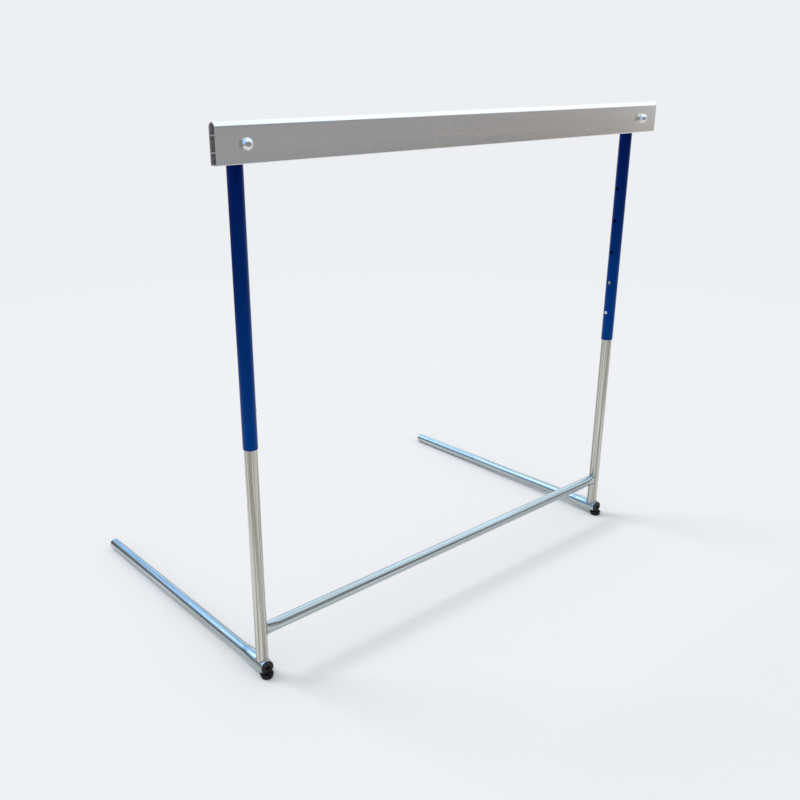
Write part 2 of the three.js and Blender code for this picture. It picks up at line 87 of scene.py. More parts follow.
# The legs slope until the lower edge of the rear end meets the ground.
REAR_EDGE = math.hypot(LEG_REACH, LEG_RADIUS)
LEG_SLOPE = math.asin(SOCKET_HEIGHT / REAR_EDGE) - math.atan2(LEG_RADIUS, LEG_REACH)

# Turns of a piece or a cutter that was made along Z
TO_THE_FRONT = (math.pi / 2, 0, 0)
ACROSS = (0, math.pi / 2, 0)
OVER = (math.pi, 0, 0)
ALONG_LEG = (math.pi / 2 - LEG_SLOPE, 0, 0)
DOWN_TO_REAR = (-math.pi / 2 - LEG_SLOPE, 0, 0)

# Facets round a turned piece, distances in metres, and an angle
TUBE_FACETS, SMALL_FACETS = 96, 48
MERGE_DISTANCE, NEAR, SHORT = 0.00001, 0.000001, 0.01
SMOOTH_ANGLE = math.radians(32)


# Finishes

class Amount:
    """A shader socket that can stand in a sum or a product."""

    def __init__(self, finish, socket):
        self.finish = finish
        self.socket = socket

    def combined(self, operation, first, second):
        return self.finish.node("ShaderNodeMath", {"operation": operation}, first, second)

    def __add__(self, other):
        return self.combined("ADD", self, other)

    def __mul__(self, other):
        return self.combined("MULTIPLY", self, other)

    __radd__ = __add__
    __rmul__ = __mul__


class Finish:
    """A material, or the world, as a set of nodes."""

    def __init__(self, tree):
        self.tree = tree
        tree.nodes.clear()

    def node(self, kind, settings, *values, out=0, **named):
        """A node with its settings, then the values or links of its sockets, by place or by name."""
        made = self.tree.nodes.new(kind)
        for setting, value in settings.items():
            setattr(made, setting, value)
        for place, value in [*enumerate(values), *named.items()]:
            if value is None:
                continue
            key = place if isinstance(place, int) else place.replace("_", " ")
            socket = made.inputs[key]
            if isinstance(value, Amount):
                self.tree.links.new(value.socket, socket)
            else:
                socket.default_value = value
        return Amount(self, made.outputs[out]) if made.outputs else None

    def place(self):
        """Object coordinates."""
        return self.node("ShaderNodeTexCoord", {}, out="Object")

    def noise(self, scale, detail=4, roughness=0.55):
        """Noise in object coordinates, with its own scale along each axis."""
        stretched = self.node("ShaderNodeMapping", {}, self.place(), Scale=scale)
        return self.node("ShaderNodeTexNoise", {}, Vector=stretched, Scale=1, Detail=detail,
                         Roughness=roughness)

    def spread(self, value, low, high, to_low=0, to_high=1):
        """The value, stretched from low..high to another range and held there."""
        return self.node("ShaderNodeMapRange", {"clamp": True}, value, low, high, to_low, to_high)

    def along(self, axis):
        """How far along an axis a point lies, in metres."""
        return self.node("ShaderNodeSeparateXYZ", {}, self.place(), out=axis)

    def mixed(self, share, first, second):
        """A mix of two colours, whose sockets come after those for numbers and vectors."""
        others = [None] * 5
        return self.node("ShaderNodeMix", {"data_type": "RGBA"}, share, *others, first, second, out=2)

    def bump(self, height, strength, distance):
        return self.node("ShaderNodeBump", {}, Strength=strength, Distance=distance, Height=height)

    def glow(self, color):
        return self.node("ShaderNodeEmission", {}, Color=color, Strength=1.0)

    def coated(self, **sockets):
        """The surface itself, with each socket's value or what feeds it."""
        surface = self.node("ShaderNodeBsdfPrincipled", {}, **sockets)
        self.node("ShaderNodeOutputMaterial", {}, surface)


def material(name):
    made = bpy.data.materials.new(name)
    made.use_nodes = True
    return made, Finish(made.node_tree)


def gray(level, warmth=0.0):
    return (level * (1 + warmth), level, level * (1 - warmth), 1)


def satin_aluminium():
    """Extruded bar: faint lines along it, cloudy handling marks, small scratches, and a painted warm
    reflection towards its right end.
    """
    made, finish = material("satin_aluminium")
    lines = finish.noise((6, 1500, 1500), detail=5)
    bands = finish.noise((1.1, 90, 90), detail=2)
    clouds = finish.noise((9, 30, 30), detail=3)
    scuffs = finish.noise((60, 400, 400), detail=6, roughness=0.7)
    scuffed = finish.spread(scuffs, 0.62, 0.7)
    # Painted reflection: the colour turns warmer towards the bar's right end.
    warm_reflection_share = finish.spread(finish.along("X"), -0.5, 0.5)
    tone = finish.mixed(warm_reflection_share, (0.84, 0.85, 0.865, 1), (0.93, 0.86, 0.80, 1))
    banded = finish.mixed(finish.spread(bands, 0.42, 0.66, 0, 0.5), tone, (0.98, 0.89, 0.84, 1))
    shaded = finish.mixed(clouds * 0.2 + scuffed * 0.1, banded, (0.7, 0.685, 0.66, 1))
    gloss = finish.spread(lines, 0.3, 0.7, 0.19, 0.25) + scuffed * 0.1
    relief = finish.bump(lines, 0.25, 0.0001)
    finish.coated(Base_Color=shaded, Metallic=1.0, Roughness=gloss, Normal=relief)
    return made


def sawn_aluminium():
    """The bar's cut ends: gray and dull, with fine saw lines."""
    made, finish = material("sawn_aluminium")
    cuts = finish.noise((300, 300, 1500), detail=4)
    tone = finish.mixed(finish.spread(cuts, 0.35, 0.65), gray(0.34, 0.02), gray(0.24, 0.03))
    gloss = finish.spread(cuts, 0.3, 0.7, 0.5, 0.65)
    relief = finish.bump(cuts, 0.1, 0.0001)
    finish.coated(Base_Color=tone, Metallic=0.2, Roughness=gloss, Normal=relief, Specular_IOR_Level=0.3)
    return made


def mill_aluminium():
    """The bar's inside, as it left the die: dull, oxidised and streaked."""
    made, finish = material("mill_aluminium")
    streaks = finish.noise((4, 500, 500), detail=4)
    tone = finish.mixed(finish.spread(streaks, 0.35, 0.65), gray(0.42, 0.06), gray(0.26, 0.08))
    gloss = finish.spread(streaks, 0.3, 0.7, 0.5, 0.65)
    relief = finish.bump(streaks, 0.2, 0.0002)
    finish.coated(Base_Color=tone, Metallic=0.35, Roughness=gloss, Normal=relief)
    return made


def drawn(direction, lengthways, across):
    """The scale of a pattern that is stretched in one direction, or in none."""
    return tuple(lengthways if axis == direction else across for axis in "XYZ")


def zinc_plate(name, direction, bright, dark, dull=0.0):
    """Bright zinc on drawn tube: streaks along the tube, cloudy patches, and spots that are duller and
    lighter, their lighter colour a painted highlight.
    """
    made, finish = material(name)
    streaks = finish.noise(drawn(direction, 5, 620), detail=6, roughness=0.65)
    bands = finish.noise(drawn(direction, 2, 250), detail=3)
    clouds = finish.noise((38, 38, 38), detail=5, roughness=0.6)
    spots = finish.noise((210, 210, 210), detail=4, roughness=0.6)
    dull_spots_and_painted_glints = finish.spread(spots, 0.6, 0.7)
    tone = finish.mixed(finish.spread(bands, 0.45, 0.57), bright, dark)
    streaked = finish.mixed(finish.spread(streaks, 0.42, 0.6, 0, 0.5), tone, (0.34, 0.33, 0.29, 1))
    # Painted highlight: the spots are lighter in colour, as patches of glint; their roughness also makes
    # them duller.
    with_painted_glints = finish.mixed(dull_spots_and_painted_glints * 0.35, streaked, (0.74, 0.74, 0.72, 1))
    streaked_gloss = finish.spread(streaks, 0.35, 0.65, 0.12 + dull, 0.24 + dull)
    gloss = streaked_gloss + clouds * 0.08 + dull_spots_and_painted_glints * 0.1
    relief = finish.bump(streaks + bands * 0.8, 0.3, 0.0003)
    finish.coated(Base_Color=with_painted_glints, Metallic=1.0, Roughness=gloss, Normal=relief)
    return made


def blue_coat():
    """Blue powder coat: orange peel, thin pale scratches along the tube, lighter lower down."""
    made, finish = material("blue_powder_coat")
    peel = finish.noise((900, 900, 700), detail=2)
    waves = finish.noise((60, 60, 9), detail=3)
    scratches = finish.noise((700, 700, 26), detail=5, roughness=0.7)
    scratched = finish.spread(scratches, 0.68, 0.74)
    deep, light = (0.0001, 0.0012, 0.07, 1), (0.0008, 0.041, 0.22, 1)
    # The colour is darker towards the top and lighter lower down, set by height alone.
    lighter_lower_down = finish.spread(finish.along("Z"), 1.0, 0.52, 0.0, 0.8)
    tone = finish.mixed(lighter_lower_down + finish.spread(waves, 0.35, 0.65, 0, 0.1), deep, light)
    marked = finish.mixed(scratched * 0.25, tone, (0.01, 0.08, 0.28, 1))
    gloss = finish.spread(peel, 0.3, 0.7, 0.2, 0.3) + scratched * 0.2
    relief = finish.bump(peel, 0.12, 0.0002)
    finish.coated(Base_Color=marked, Roughness=gloss, Normal=relief,
                  Specular_IOR_Level=0.22, Specular_Tint=(0.05, 0.45, 1.0, 1))
    return made


def bright_steel(name, dull=0.0):
    """Polished steel of bolts and buttons, and the duller steel of springs."""
    made, finish = material(name)
    rub = finish.noise((500, 500, 500), detail=5, roughness=0.7)
    haze = finish.noise((160, 160, 160), detail=3)
    hazy = finish.spread(haze, 0.3, 0.7)
    tone = finish.mixed(hazy, (0.82, 0.82, 0.81, 1), (0.68, 0.675, 0.655, 1))
    gloss = finish.spread(rub, 0.35, 0.7, 0.18 + dull, 0.28 + dull)
    relief = finish.bump(rub, 0.08, 0.0001)
    finish.coated(Base_Color=tone, Metallic=1.0, Roughness=gloss, Normal=relief)
    return made


def black_moulding(name, roughness, grain, level):
    """Moulded black plastic or rubber: fine grain and dusty patches."""
    made, finish = material(name)
    fine = finish.noise((grain, grain, grain), detail=4)
    dust = finish.noise((130, 130, 130), detail=5, roughness=0.7)
    dusty = finish.spread(dust, 0.5, 0.72)
    tone = finish.mixed(dusty * 0.3, gray(level), gray(level * 4, 0.05))
    gloss = finish.spread(fine, 0.3, 0.7, roughness - 0.08, roughness + 0.08) + dusty * 0.15
    relief = finish.bump(fine, 0.3, 0.0002)
    finish.coated(Base_Color=tone, Roughness=gloss, Normal=relief, Specular_IOR_Level=0.3)
    return made


def weld_metal():
    """Plated weld: bright patches and dark ones, over fine ripples; the dark patches are partly soot and
    partly painted shade for the notch where a tube meets a post.
    """
    made, finish = material("weld_metal")
    ripples = finish.noise((420, 420, 420), detail=3)
    soot = finish.noise((120, 120, 120), detail=4)
    soot_and_painted_shade = finish.spread(soot, 0.4, 0.65)
    # Dark patches: partly soot, partly painted shade where a tube meets a post.
    tone = finish.mixed(soot_and_painted_shade, (0.5, 0.48, 0.44, 1), (0.11, 0.1, 0.085, 1))
    gloss = finish.spread(ripples, 0.3, 0.7, 0.2, 0.45)
    relief = finish.bump(ripples, 0.5, 0.0006)
    finish.coated(Base_Color=tone, Metallic=1.0, Roughness=gloss, Normal=relief)
    return made


ALUMINIUM = satin_aluminium()
MILL = mill_aluminium()
SAWN = sawn_aluminium()
BLUE = blue_coat()
# One zinc in two tints, each a bright and a dark tone: painted reflections, beige of the ground on the
# posts and fasteners, sky blue on the cross tube and legs.
ZINC_PAINTED_WARM_REFLECTION = (0.7, 0.69, 0.64, 1), (0.33, 0.31, 0.25, 1)
ZINC_PAINTED_SKY_REFLECTION = (0.59, 0.68, 0.715, 1), (0.41, 0.455, 0.47, 1)
ZINC_UPRIGHT = zinc_plate("zinc_on_posts", "Z", *ZINC_PAINTED_WARM_REFLECTION)
ZINC_CROSS = zinc_plate("zinc_on_cross_tube", "X", *ZINC_PAINTED_SKY_REFLECTION)
ZINC_LEG = zinc_plate("zinc_on_legs", "Y", *ZINC_PAINTED_SKY_REFLECTION)
ZINC_SMALL = zinc_plate("zinc_on_fasteners", "", *ZINC_PAINTED_WARM_REFLECTION, 0.08)
STEEL = bright_steel("bright_steel")
SPRING_STEEL = bright_steel("spring_steel", 0.12)
PLASTIC = black_moulding("black_plastic", 0.42, 900, 0.006)
RUBBER = black_moulding("black_rubber", 0.68, 700, 0.006)
# Painted shade: a blacker, duller finish for the plugs' shallow dishes, so that they look deep and dark.
DISH_SHADE = black_moulding("black_plastic_painted_dish_shade", 0.9, 900, 0.001)
WELD = weld_metal()


# Making

def alone():
    """Deselects everything, before a new primitive comes in."""
    bpy.ops.object.select_all(action="DESELECT")


def named(name):
    """The new primitive, with its name."""
    piece = bpy.context.object
    piece.name = name
    piece.data.name = name
    return piece


def chosen(piece):
    alone()
    piece.select_set(True)
    bpy.context.view_layer.objects.active = piece


def merge_doubles():
    bpy.ops.mesh.remove_doubles(threshold=MERGE_DISTANCE)


def turn_outwards():
    bpy.ops.mesh.normals_make_consistent(inside=False)


def on_whole_mesh(piece, job):
    """Does a job in edit mode on all of a piece."""
    chosen(piece)
    bpy.ops.object.mode_set(mode="EDIT")
    bpy.ops.mesh.select_all(action="SELECT")
    job()
    bpy.ops.object.mode_set(mode="OBJECT")


def turned(name, stations, facets=TUBE_FACETS, filled=True):
    """Turned round Z through (radius, height) stations. Unfilled, the outline closes on itself."""
    radius, height = stations[0]
    alone()
    fill = "TRIFAN" if filled else "NOTHING"
    bpy.ops.mesh.primitive_circle_add(vertices=facets, radius=radius * MM, fill_type=fill,
                                      location=(0, 0, height * MM))
    piece = named(name)
    bpy.ops.object.transform_apply()
    bpy.ops.object.mode_set(mode="EDIT")
    bpy.ops.mesh.select_all(action="SELECT")
    for next_radius, next_height in stations[1:]:
        rise = (0, 0, (next_height - height) * MM)
        bpy.ops.mesh.extrude_region_move(TRANSFORM_OT_translate={"value": rise})
        if next_radius:
            growth = next_radius / radius
            middle = (0, 0, next_height * MM)
            bpy.ops.transform.resize(value=(growth, growth, 1), center_override=middle)
            radius = next_radius
        else:
            bpy.ops.mesh.merge(type="CENTER")
        height = next_height
    bpy.ops.mesh.select_all(action="SELECT")
    merge_doubles()
    turn_outwards()
    bpy.ops.object.mode_set(mode="OBJECT")
    return piece


def tube(name, bore, radius, start, end, edge=0.25):
    """A tube along Z, whose ends have their edges broken."""
    outline = [
        (radius - edge, start),
        (radius, start + edge),
        (radius, end - edge),
        (radius - edge, end),
        (bore + edge, end),
        (bore, end - edge),
        (bore, start + edge),
        (bore + edge, start),
        (radius - edge, start),
    ]
    return turned(name, outline, filled=False)


def arc(middle, radii, start, end, steps):
    """Points on a stretch of an oval, as (radius, height)."""
    angles = [math.radians(start + (end - start) * step / steps) for step in range(steps + 1)]
    return [(middle[0] + radii[0] * math.cos(a), middle[1] + radii[1] * math.sin(a)) for a in angles]


def eased(share):
    """Runs from 0 to 1 with a level start and end."""
    return share * share * (3 - 2 * share)


def rod(radius, length, middle, turn=(0, 0, 0), facets=SMALL_FACETS):
    """A round cutter, longer than what it cuts."""
    alone()
    bpy.ops.mesh.primitive_cylinder_add(vertices=facets, radius=radius * MM, depth=length * MM,
                                        location=[v * MM for v in middle], rotation=turn)
    return named("cutter")


def drilled(piece, cutters):
    """Cuts each cutter out of the piece, and removes the cutter."""
    for cutter in cutters:
        hole = piece.modifiers.new("hole", "BOOLEAN")
        hole.operation = "DIFFERENCE"
        hole.solver = "EXACT"
        hole.object = cutter
        chosen(piece)
        bpy.ops.object.modifier_apply(modifier="hole")
        bpy.data.objects.remove(cutter, do_unlink=True)
    return piece


def set_down(piece, place=(0, 0, 0), turn=(0, 0, 0)):
    """Places a piece and leaves its object at the origin."""
    chosen(piece)
    piece.rotation_euler = turn
    piece.location = [v * MM for v in place]
    bpy.ops.object.transform_apply(location=True, rotation=True, scale=True)
    return piece


def fitted(piece, finish, body, slot, *nodes):
    """Gives a piece its material, the body that it rides on and the nodes that it stands for."""
    chosen(piece)
    bpy.ops.object.shade_smooth_by_angle(angle=SMOOTH_ANGLE)
    piece.data.materials.append(finish)
    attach(piece, body)
    if nodes:
        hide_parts(*nodes)


def lined(piece, finish, chooses):
    """Gives another finish to the faces that chooses(face) picks."""
    piece.data.materials.append(finish)
    for face in piece.data.polygons:
        if chooses(face):
            face.material_index = len(piece.data.materials) - 1


def twin(piece, name):
    """A copy with its own mesh."""
    copy = piece.copy()
    copy.data = piece.data.copy()
    copy.name = name
    copy.data.name = name
    bpy.context.collection.objects.link(copy)
    return copy


def on_both_sides(make, finish, body, slot, kind, inside=None):
    """Makes a piece for the left and one for the right. Inside is the finish of a plug's dish, black as
    painted shade.
    """
    for side, sign in SIDES:
        piece = make(f"{kind}_{side}_fine", sign)
        fitted(piece, finish, body.format(side), slot, f"{kind}_{side}")
        if inside:
            piece.data.materials.append(inside)


def at_post(sign, height=0):
    """A place on a post's axis."""
    return (sign * POST_PLACE, DEPTH_OF_POSTS, height)


# The crossbar

def select_long_edges(piece, level):
    """In edit mode, selects the edges along X at a height."""
    bpy.ops.mesh.select_mode(type="EDGE")
    bpy.ops.mesh.select_all(action="DESELECT")
    mesh = bmesh.from_edit_mesh(piece.data)
    for side in mesh.edges:
        first, last = (corner.co for corner in side.verts)
        at_level = all(abs(end.z - level * MM) < NEAR for end in (first, last))
        if at_level and abs(first.x - last.x) > SHORT:
            side.select_set(True)


def long_box(name, half_length, thickness, bottom, top, lower_edge, upper_edge, steps):
    """A bar along X with its four long edges rounded."""
    alone()
    middle = (0, 0, (bottom + top) / 2 * MM)
    size = (2 * half_length * MM, thickness * MM, (top - bottom) * MM)
    bpy.ops.mesh.primitive_cube_add(size=1, location=middle, scale=size)
    piece = named(name)
    bpy.ops.object.transform_apply(location=True, rotation=True, scale=True)
    for level, edge in ((bottom, lower_edge), (top, upper_edge)):
        bpy.ops.object.mode_set(mode="EDIT")
        select_long_edges(piece, level)
        bpy.ops.mesh.bevel(offset=edge * MM, segments=steps, affect="EDGES", clamp_overlap=False)
        bpy.ops.mesh.select_all(action="SELECT")
        merge_doubles()
        bpy.ops.object.mode_set(mode="OBJECT")
    return piece


def crossbar():
    tall, top_edge = BAR_TOP - BAR_BOTTOM, BAR_THICKNESS / 2
    bar = long_box("crossbar_fine", BAR_END, BAR_THICKNESS, 0, tall, BAR_EDGE, top_edge, 18)
    inner, past_end, lower_edge = BAR_THICKNESS - 2 * BAR_WALL, BAR_END + 5, 0.8
    chambers = [
        long_box("cutter", past_end, inner, floor, floor + height, lower_edge, upper_edge, 10)
        for floor, height, upper_edge in CHAMBERS
    ]
    drilled(bar, chambers)
    hole_height = BOLT_HEIGHT - BAR_BOTTOM
    holes = [
        rod(BOLT_HOLE_RADIUS, 40, (sign * POST_PLACE, 0, hole_height), TO_THE_FRONT)
        for _, sign in SIDES
    ]
    drilled(bar, holes)
    middle = DEPTH_OF_POSTS + BAR_FRONT + BAR_THICKNESS / 2
    set_down(bar, (0, middle, BAR_BOTTOM))
    fitted(bar, ALUMINIUM, "bar_and_sleeves", "satin_aluminium", "crossbar")
    skin = 0.8

    def is_inside(face):
        """Whether a face lies deeper than the skin."""
        depth, height = face.center.y / MM - middle, face.center.z / MM
        rise = max(height - BAR_TOP + BAR_THICKNESS / 2, 0)
        return math.hypot(depth, rise) < BAR_THICKNESS / 2 - skin and height > BAR_BOTTOM + skin

    lined(bar, MILL, is_inside)
    lined(bar, SAWN, lambda face: abs(face.normal.x) > 0.9)


def bar_bolt(name, sign):
    """Carriage bolt, turned with its head up and its thread down, then laid to point forwards."""
    end, shank, seat = -25.3, -11.4, 37.8
    head, edge, rise = 10.3, 3, 12
    root, pitch, flank, last_thread = 3.4, 1.25, 0.6, -13.4
    outline = [(2.9, end)]
    height = end + flank
    while height < last_thread:
        outline += [(root, height), (BOLT_RADIUS, height + flank)]
        height += pitch
    outline += [(BOLT_RADIUS, shank), (BOLT_RADIUS, seat), (head - 0.2, seat), (head, seat + 0.2)]
    outline += arc((0, seat + edge), (head, rise - edge), 0, 87, 14)
    outline += [(0, seat + rise)]
    return set_down(turned(name, outline, SMALL_FACETS), at_post(sign, BOLT_HEIGHT), TO_THE_FRONT)


def bar_washer(name, sign):
    radius, rear, front = 8, -16, -14.4
    ring = tube(name, BOLT_HOLE_RADIUS, radius, rear, front, 0.15)
    return set_down(ring, at_post(sign, BOLT_HEIGHT), TO_THE_FRONT)


# Sleeves and posts

def button_hole(sign, height):
    """A cutter for one wall, on the side of the other upright."""
    return rod(HOLE_RADIUS, 20, (-sign * 10, 0, height), ACROSS)


def sleeve(name, sign):
    body = tube(name, SLEEVE_BORE, SLEEVE_RADIUS, SLEEVE_BOTTOM, SLEEVE_TOP)
    heights = [BUTTON_HEIGHT + step * HOLE_PITCH for step in range(SETTINGS)]
    holes = [button_hole(sign, height) for height in heights]
    holes.append(rod(BOLT_HOLE_RADIUS, 40, (0, 0, BOLT_HEIGHT), TO_THE_FRONT))
    return set_down(drilled(body, holes), at_post(sign))


def sleeve_cap(name, sign):
    """A cap with a short stem, which sits in the sleeve's top."""
    seat, top, stem, edge = SLEEVE_TOP + 0.3, SLEEVE_TOP + 3.3, 12.6, 1.2
    stem_end = seat - 7
    outline = [
        (11, stem_end),
        (stem, stem_end),
        (stem, seat),
        (SLEEVE_RADIUS - 0.2, seat),
        (SLEEVE_RADIUS, seat + 0.2),
        *arc((SLEEVE_RADIUS - edge, top - edge), (edge, edge), 0, 90, 7),
        (6, top + 0.01),
        (0, top + 0.01),
    ]
    return set_down(turned(name, outline), at_post(sign))


def post(name, sign):
    body = tube(name, POST_BORE, POST_RADIUS, SOCKET_HEIGHT, POST_TOP)
    socket = rod(SOCKET_RADIUS + SEAT_GAP, 60, (0, 0, SOCKET_HEIGHT), ALONG_LEG, TUBE_FACETS)
    return set_down(drilled(body, [button_hole(sign, BUTTON_HEIGHT), socket]), at_post(sign))


def snap_button(name, sign):
    """A domed pin with a flange, turned with its tip up, then laid to point at the other upright."""
    tip, dome, shank = 17.3, 3.4, 4
    flange, flange_back, flange_front = 4.9, 8.75, 9.55
    outline = [
        (flange, flange_back),
        (flange, flange_front),
        (shank, flange_front),
        *arc((0, tip - dome), (shank, dome), 0, 82, 9),
        (0, tip),
    ]
    inwards = (0, -sign * math.pi / 2, 0)
    return set_down(turned(name, outline, SMALL_FACETS), at_post(sign, BUTTON_HEIGHT), inwards)


def snap_spring(side):
    """The bent leaf: a merged copy of the node's own shape."""
    node = f"snap_spring_{side}"
    piece = twin(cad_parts[node], f"{node}_fine")
    piece.parent = None
    on_whole_mesh(piece, merge_doubles)
    rounding = piece.modifiers.new("rounding", "BEVEL")
    rounding.width = 0.15 * MM
    rounding.segments = 2
    rounding.limit_method = "ANGLE"
    bpy.ops.object.modifier_apply(modifier="rounding")
    fitted(piece, SPRING_STEEL, "frame", "spring_steel", node)
    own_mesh(piece)


# The cross tube

def cross_tube():
    """A tube along X, its ends pressed ring by ring to an upright oval, with a small vent hole."""
    steps = 12
    left = [-POST_PLACE + PRESSED_LENGTH * step / steps for step in range(steps + 1)]
    places = left + [-place for place in reversed(left)]
    bore = CROSS_RADIUS - CROSS_WALL
    outline = [(CROSS_RADIUS, place) for place in places]
    outline += [(bore, place) for place in reversed(places)]
    outline += [(CROSS_RADIUS, places[0])]
    body = set_down(turned("cross_tube_fine", outline, filled=False), turn=ACROSS)
    for corner in body.data.vertices:
        share = (POST_PLACE - abs(corner.co.x) / MM) / PRESSED_LENGTH
        pressed = 1 - eased(min(max(share, 0), 1))
        corner.co.y *= 1 + pressed * (PRESSED_WIDE - 1)
        corner.co.z *= 1 + pressed * (PRESSED_TALL - 1)
    posts = [
        rod(POST_RADIUS + SEAT_GAP, 80, (sign * POST_PLACE, 0, 0), facets=TUBE_FACETS)
        for _, sign in SIDES
    ]
    vent_place, vent_turn = (POST_PLACE - 34, -11.5, -9.6), (math.radians(-50), 0, 0)
    drilled(body, [*posts, rod(5, 30, vent_place, vent_turn)])
    set_down(body, (0, DEPTH_OF_POSTS, CROSS_HEIGHT))
    fitted(body, ZINC_CROSS, "frame", "zinc", "cross_tube")


# Legs

def on_leg(piece, sign):
    """Lays a piece that was turned round Z along the leg, its height running down to the rear."""
    return set_down(piece, at_post(sign, SOCKET_HEIGHT), DOWN_TO_REAR)


def leg(name, sign):
    return on_leg(tube(name, LEG_BORE, LEG_RADIUS, LEG_START, LEG_REACH), sign)


def leg_socket(name, sign):
    """A short wide tube, necked down onto the leg at its rear."""
    front, neck_start, rear = -16, 38, 62
    neck, steps = SOCKET_BORE + 0.9, 12
    outline = [
        (SOCKET_BORE + 0.3, front),
        (SOCKET_RADIUS - 0.8, front),
        (SOCKET_RADIUS - 0.25, front + 0.25),
        (SOCKET_RADIUS, front + 0.8),
    ]
    for step in range(steps + 1):
        share = step / steps
        radius = SOCKET_RADIUS - (SOCKET_RADIUS - neck) * eased(share)
        outline.append((radius, neck_start + (rear - neck_start) * share))
    outline += [(SOCKET_BORE, rear), (SOCKET_BORE, front + 0.3), (SOCKET_BORE + 0.3, front)]
    return on_leg(turned(name, outline, filled=False), sign)


def plug(name, bore, head_radius, head):
    """Tube plug with two fins, turned with its dished face up. The dish is marked for its own finish,
    black as painted shade.
    """
    radius = bore - 0.3
    core, stem_end, edge = radius - 1, -17.5, 0.6
    dish, dish_depth = 5.8, 3
    outline = [(core - 1.8, stem_end), (core, stem_end)]
    for fin in (-14.2, -9.9):
        outline += [(core, fin), (core + 0.1, fin + 0.8), (radius, fin + 1), (core, fin + 1.1)]
    outline += [
        (core, -head),
        (head_radius, -head),
        *arc((head_radius - edge, -edge), (edge, edge), 0, 90, 4),
        (dish, 0),
        (dish - 0.35, -0.15),
        (dish - 0.8, 0.2 - dish_depth),
        (dish - 1.2, -dish_depth),
        (0, -dish_depth),
    ]
    piece = turned(name, outline)
    # The dish's faces are marked for the second finish, the painted shade.
    for face in piece.data.polygons:
        aside, height = math.hypot(face.center.x, face.center.y) / MM, face.center.z / MM
        face.material_index = int(aside < dish - 0.6 and height > -dish_depth - 1)
    return piece


def leg_front_plug(name, sign):
    piece = set_down(plug(name, SOCKET_BORE, PLUG_RADIUS, 3), turn=OVER)
    set_down(piece, (0, 0, PLUG_FACE))
    return on_leg(piece, sign)


def leg_rear_plug(name, sign):
    sunk = 0.6
    piece = plug(name, LEG_BORE, LEG_BORE - 0.3, 4.5)
    return on_leg(set_down(piece, (0, 0, LEG_REACH - sunk)), sign)


def foot(name, sign):
    """A tapered pad with a recess for its screw, cut to cradle the socket and clear the front plug."""
    recess, recess_top, screw_hole = 5, 3.2, 2.3
    sole, brim, top, edge = 12, 14, 10, 1.5
    middle = (0, -14, 0)
    outline = [
        (recess, recess_top),
        (recess, 0.3),
        (recess + 0.3, 0),
        *arc((sole - edge, edge), (edge, edge), -90, 0, 6),
        *arc((brim - edge, top - edge), (edge, edge), 0, 90, 6),
        (screw_hole, top),
        (screw_hole, recess_top),
        (recess, recess_top),
    ]
    pad = set_down(turned(name, outline, filled=False), middle)
    cradle = rod(SOCKET_RADIUS + SEAT_GAP, 40, (0, 4, SOCKET_HEIGHT), ALONG_LEG, TUBE_FACETS)
    plug_room = rod(PLUG_RADIUS + 0.1, 40, (0, 0.6, SOCKET_HEIGHT), ALONG_LEG, TUBE_FACETS)
    return set_down(drilled(pad, [cradle, plug_room]), at_post(sign))


# Welds

def bead(name, wide, tall, thickness, follow):
    """A ring of weld with uneven ripples, bent by follow(point) to lie on what it joins."""
    alone()
    bpy.ops.mesh.primitive_torus_add(major_segments=110, minor_segments=12, major_radius=1,
                                     minor_radius=0.5)
    piece = named(name)
    for corner in piece.data.vertices:
        flat = Vector((corner.co.x, corner.co.y, 0))
        outwards = flat.normalized()
        swing = math.atan2(outwards.y, outwards.x)
        ripple = 1 + 0.16 * math.sin(swing * 30) + 0.1 * math.sin(swing * 11 + 1)
        swell = 2 * thickness * ripple
        place = Vector((outwards.x * wide, outwards.y * tall, 0)) + outwards * (flat.length - 1) * swell
        place.z = corner.co.z * swell
        corner.co = follow(place) * MM
    on_whole_mesh(piece, turn_outwards)
    return piece


def bulge(radius, aside):
    """How far a round tube reaches out, this far aside of its middle."""
    return math.sqrt(radius ** 2 - aside ** 2)


def post_weld(side, sign):
    """Round the post's foot, where it stands on the socket."""
    def over_socket(point):
        rise = bulge(SOCKET_RADIUS, min(abs(point.x), 13.6))
        return Vector((point.x, point.y, point.z + rise + 0.4))

    weld = bead(f"post_weld_{side}", POST_RADIUS, POST_RADIUS, 1.7, over_socket)
    set_down(weld, at_post(sign, SOCKET_HEIGHT), (-LEG_SLOPE, 0, 0))
    fitted(weld, WELD, "frame", "zinc")


def cross_tube_weld(side, sign):
    """Round the cross tube's pressed end, where it meets the post."""
    def round_post(point):
        reach = bulge(POST_RADIUS, min(abs(point.y), POST_RADIUS - 0.2))
        return Vector((-sign * (reach + point.z * 0.8 + 0.5), point.y, point.x))

    weld = bead(f"cross_tube_weld_{side}", 14.6, 9.9, 1.3, round_post)
    set_down(weld, at_post(sign, CROSS_HEIGHT))
    fitted(weld, WELD, "frame", "zinc")


# The whole hurdle

crossbar()
cross_tube()
on_both_sides(bar_bolt, STEEL, "bar_and_sleeves", "bolt_steel", "bar_bolt")
on_both_sides(bar_washer, ZINC_SMALL, "bar_and_sleeves", "zinc", "bar_washer")
on_both_sides(sleeve, BLUE, "bar_and_sleeves", "blue_coat", "sleeve")
on_both_sides(sleeve_cap, PLASTIC, "bar_and_sleeves", "black_plastic", "sleeve_cap")
on_both_sides(post, ZINC_UPRIGHT, "frame", "zinc", "post")
on_both_sides(snap_button, STEEL, "button_{}", "bolt_steel", "snap_button")
on_both_sides(leg, ZINC_LEG, "frame", "zinc", "leg")
on_both_sides(leg_socket, ZINC_LEG, "frame", "zinc", "leg_socket")
on_both_sides(leg_front_plug, PLASTIC, "frame", "black_plastic", "leg_front_plug", DISH_SHADE)
on_both_sides(leg_rear_plug, PLASTIC, "frame", "black_plastic", "leg_rear_plug", DISH_SHADE)
